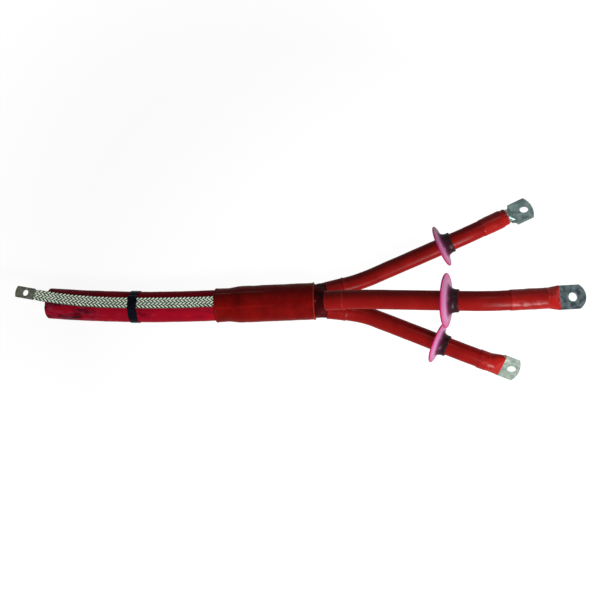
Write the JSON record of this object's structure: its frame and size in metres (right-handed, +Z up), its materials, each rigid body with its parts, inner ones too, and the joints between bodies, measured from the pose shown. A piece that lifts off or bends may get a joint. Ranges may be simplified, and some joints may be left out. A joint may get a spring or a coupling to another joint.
{
  "type": "cable termination",
  "caption": "Heat shrink termination of a power cable: red sheath, jacket sleeve, breakout boot, tubed cores with rain sheds and bolt lugs, and a flat earth braid taped to the cable",
  "frame": {"origin": "On the plane that it lies on, in the middle of its length and width, without the earth braid", "axes": "+X along the cable towards the lugs, +Y to the left of that, +Z up"},
  "size_m": [1.1246, 0.359, 0.1573],
  "materials": {
    "sheath_red": "satin",
    "filler_yarn": "matte",
    "bare_copper": "satin",
    "insulation_natural": "satin",
    "screen_black": "matte",
    "copper_tape": "satin",
    "spring_steel": "satin",
    "mastic_red": "matte",
    "boot_dark_red": "satin",
    "sleeve_brick_red": "satin",
    "stress_tube_black": "matte",
    "tube_brick_red": "satin",
    "shed_pink_red": "gloss",
    "tinned_copper": "satin",
    "seal_red": "gloss",
    "tinned_braid": "woven",
    "tinned_lug": "satin",
    "tape_black": "satin"
  },
  "bodies": {
    "root": {"cable_sheath": "sheath_red", "cable_fillers": "filler_yarn", "middle_conductor": "bare_copper", "left_conductor": "bare_copper", "right_conductor": "bare_copper", "middle_insulation": "insulation_natural", "left_insulation": "insulation_natural", "right_insulation": "insulation_natural", "middle_screen": "screen_black", "left_screen": "screen_black", "right_screen": "screen_black", "middle_copper_tape": "copper_tape", "left_copper_tape": "copper_tape", "right_copper_tape": "copper_tape", "clamp_spring": "spring_steel", "crotch_mastic": "mastic_red", "breakout_boot": "boot_dark_red", "jacket_sleeve": "sleeve_brick_red", "middle_stress_tube": "stress_tube_black", "left_stress_tube": "stress_tube_black", "right_stress_tube": "stress_tube_black", "middle_core_tube": "tube_brick_red", "left_core_tube": "tube_brick_red", "right_core_tube": "tube_brick_red", "middle_rain_shed": "shed_pink_red", "left_rain_shed": "shed_pink_red", "right_rain_shed": "shed_pink_red", "middle_lug": "tinned_copper", "left_lug": "tinned_copper", "right_lug": "tinned_copper", "middle_seal_sleeve": "seal_red", "left_seal_sleeve": "seal_red", "right_seal_sleeve": "seal_red", "earth_braid": "tinned_braid", "braid_lug": "tinned_lug", "binding_tape": "tape_black"}
  },
  "joints": []
}
